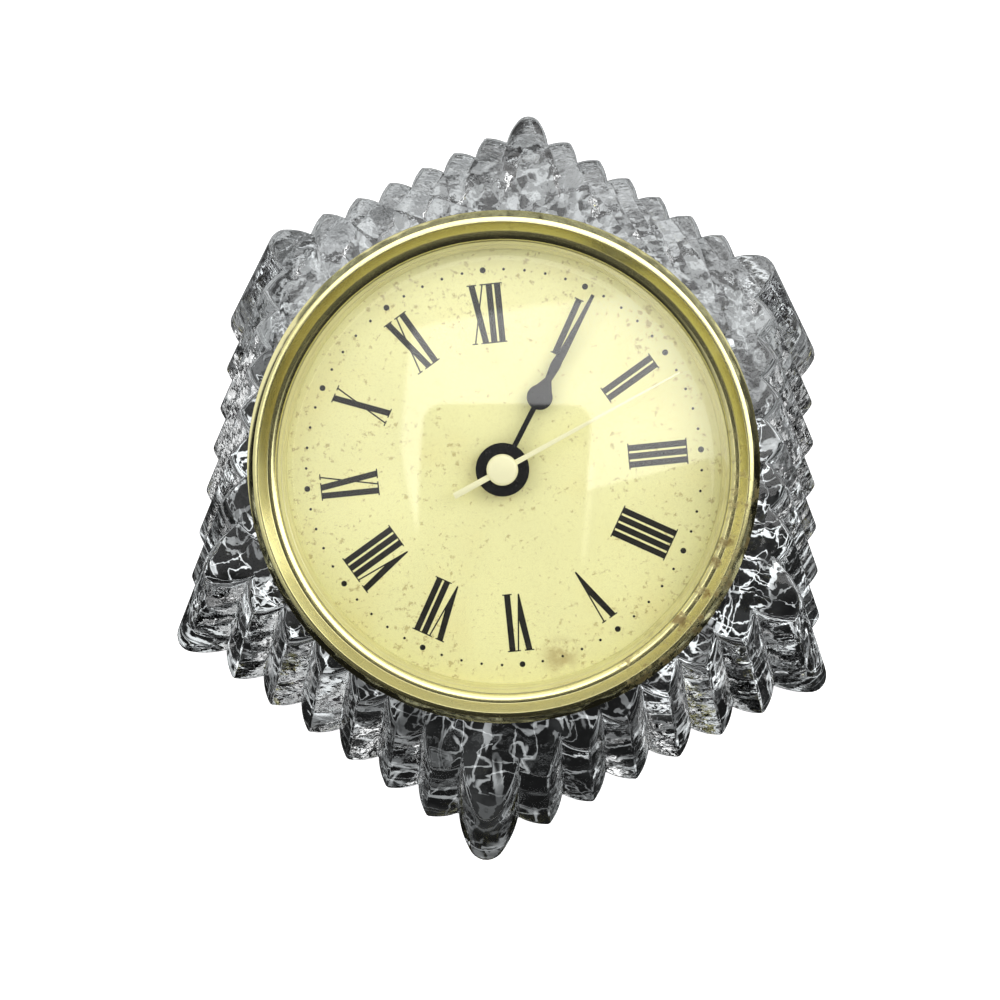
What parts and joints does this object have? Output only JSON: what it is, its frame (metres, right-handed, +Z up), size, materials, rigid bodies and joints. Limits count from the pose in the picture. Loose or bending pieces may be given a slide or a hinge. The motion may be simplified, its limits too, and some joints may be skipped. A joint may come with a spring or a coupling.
{
  "type": "crystal desk clock",
  "caption": "Wedge-shaped ridged crystal block with a round quartz clock insert in its sloping face: brass bezel, domed lens, Roman dial and three hands.",
  "frame": {"origin": "centre of the flat base, on the surface that the clock stands on", "axes": "+Z up, +Y towards the high back corner at the dial's twelve o'clock side, +X to the right as the dial is read"},
  "size_m": [0.1286, 0.1474, 0.0615],
  "materials": {
    "crystal": "cut and fire polished",
    "bezel_brass": "polished, lacquered, a little tarnished",
    "lens_acrylic": "clear gloss",
    "ring_brass": "satin gold",
    "dial_face": "aged pale gold print",
    "black_plastic": "moulded",
    "gasket_rubber": "matt",
    "plate_plastic": "moulded ivory",
    "steel": "plated",
    "bushing_brass": "turned",
    "gear_plastic": "natural acetal",
    "centre_plastic": "natural acetal, tan",
    "hand_black": "gloss black lacquer",
    "hand_gold": "pale gold",
    "magnet": "sintered",
    "soft_iron": "bare",
    "bobbin_plastic": "moulded",
    "copper_wire": "enamelled winding",
    "board": "glass epoxy with solder mask",
    "resin": "potting resin",
    "battery_skin": "plain printed sleeve"
  },
  "bodies": {
    "crystal": {"crystal_body": "crystal"},
    "insert": {"bezel": "bezel_brass", "lens": "lens_acrylic", "dial_ring": "ring_brass", "dial": "dial_face", "insert_case": "black_plastic", "case_gasket": "gasket_rubber", "front_plate": "plate_plastic", "middle_plate": "plate_plastic", "back_plate": "plate_plastic", "plate_screws": "steel", "bushing": "bushing_brass", "dial_washer": "steel", "dial_nut": "bushing_brass", "stator": "soft_iron", "coil_core": "soft_iron", "coil_bobbin": "bobbin_plastic", "coil_winding": "copper_wire", "circuit_board": "board", "driver_chip": "resin", "quartz_can": "steel", "contact_plus": "steel", "contact_minus": "steel", "battery": "battery_skin"},
    "seconds": {"second_wheel": "gear_plastic", "second_hand": "hand_gold"},
    "rotor": {"rotor": "magnet"},
    "step_wheel": {"step_wheel": "gear_plastic"},
    "third_wheel": {"third_wheel": "gear_plastic"},
    "centre_wheel": {"centre_wheel": "centre_plastic"},
    "minutes": {"minute_arbor": "steel", "minute_hand": "hand_black"},
    "motion_wheel": {"motion_wheel": "gear_plastic"},
    "hours": {"hour_wheel": "gear_plastic", "hour_hand": "hand_black"},
    "setting_knob": {"setting_knob": "black_plastic"},
    "battery_hatch": {"battery_hatch": "black_plastic"}
  },
  "joints": [
    {"name": "insert_lift", "type": "slide", "parent": "crystal", "child": "insert", "axis": [0, -0.3827, 0.9239], "range_m": [0, 0.022]},
    {"name": "seconds_turn", "type": "hinge", "parent": "insert", "child": "seconds", "pos_m": [-0.0009, -0.00734, 0.0317], "axis": [0, 0.3827, -0.9239], "continuous": true},
    {"name": "rotor_turn", "type": "hinge", "parent": "insert", "child": "rotor", "pos_m": [-0.00138, 0.00823, 0.03815], "axis": [0, 0.3827, -0.9239], "continuous": true},
    {"name": "step_wheel_turn", "type": "hinge", "parent": "insert", "child": "step_wheel", "pos_m": [-0.00419, 0.00139, 0.03532], "axis": [0, 0.3827, -0.9239], "continuous": true},
    {"name": "third_wheel_turn", "type": "hinge", "parent": "insert", "child": "third_wheel", "pos_m": [-0.00945, -0.01176, 0.02987], "axis": [0, 0.3827, -0.9239], "continuous": true},
    {"name": "centre_wheel_turn", "type": "hinge", "parent": "insert", "child": "centre_wheel", "pos_m": [-0.0009, -0.00734, 0.0317], "axis": [0, 0.3827, -0.9239], "continuous": true},
    {"name": "minutes_turn", "type": "hinge", "parent": "insert", "child": "minutes", "pos_m": [-0.0009, -0.00734, 0.0317], "axis": [0, 0.3827, -0.9239], "continuous": true},
    {"name": "motion_wheel_turn", "type": "hinge", "parent": "insert", "child": "motion_wheel", "pos_m": [0.00508, -0.00944, 0.03083], "axis": [0, 0.3827, -0.9239], "continuous": true},
    {"name": "hours_turn", "type": "hinge", "parent": "insert", "child": "hours", "pos_m": [-0.0009, -0.00734, 0.0317], "axis": [0, 0.3827, -0.9239], "continuous": true},
    {"name": "knob_turn", "type": "hinge", "parent": "insert", "child": "setting_knob", "pos_m": [0.01029, -0.00551, 0.03246], "axis": [0, 0.3827, -0.9239], "continuous": true},
    {"name": "hatch_slide", "type": "slide", "parent": "insert", "child": "battery_hatch", "axis": [-0.1599, 0.912, 0.3778], "range_m": [0, 0.006]}
  ],
  "couplings": [
    {"joint": "rotor_turn", "follows": "seconds_turn", "ratio": 30},
    {"joint": "step_wheel_turn", "follows": "seconds_turn", "ratio": -6},
    {"joint": "third_wheel_turn", "follows": "seconds_turn", "ratio": -0.13333},
    {"joint": "centre_wheel_turn", "follows": "seconds_turn", "ratio": 0.016667},
    {"joint": "motion_wheel_turn", "follows": "minutes_turn", "ratio": -0.33333},
    {"joint": "hours_turn", "follows": "minutes_turn", "ratio": 0.083333},
    {"joint": "knob_turn", "follows": "minutes_turn", "ratio": 0.83333}
  ]
}
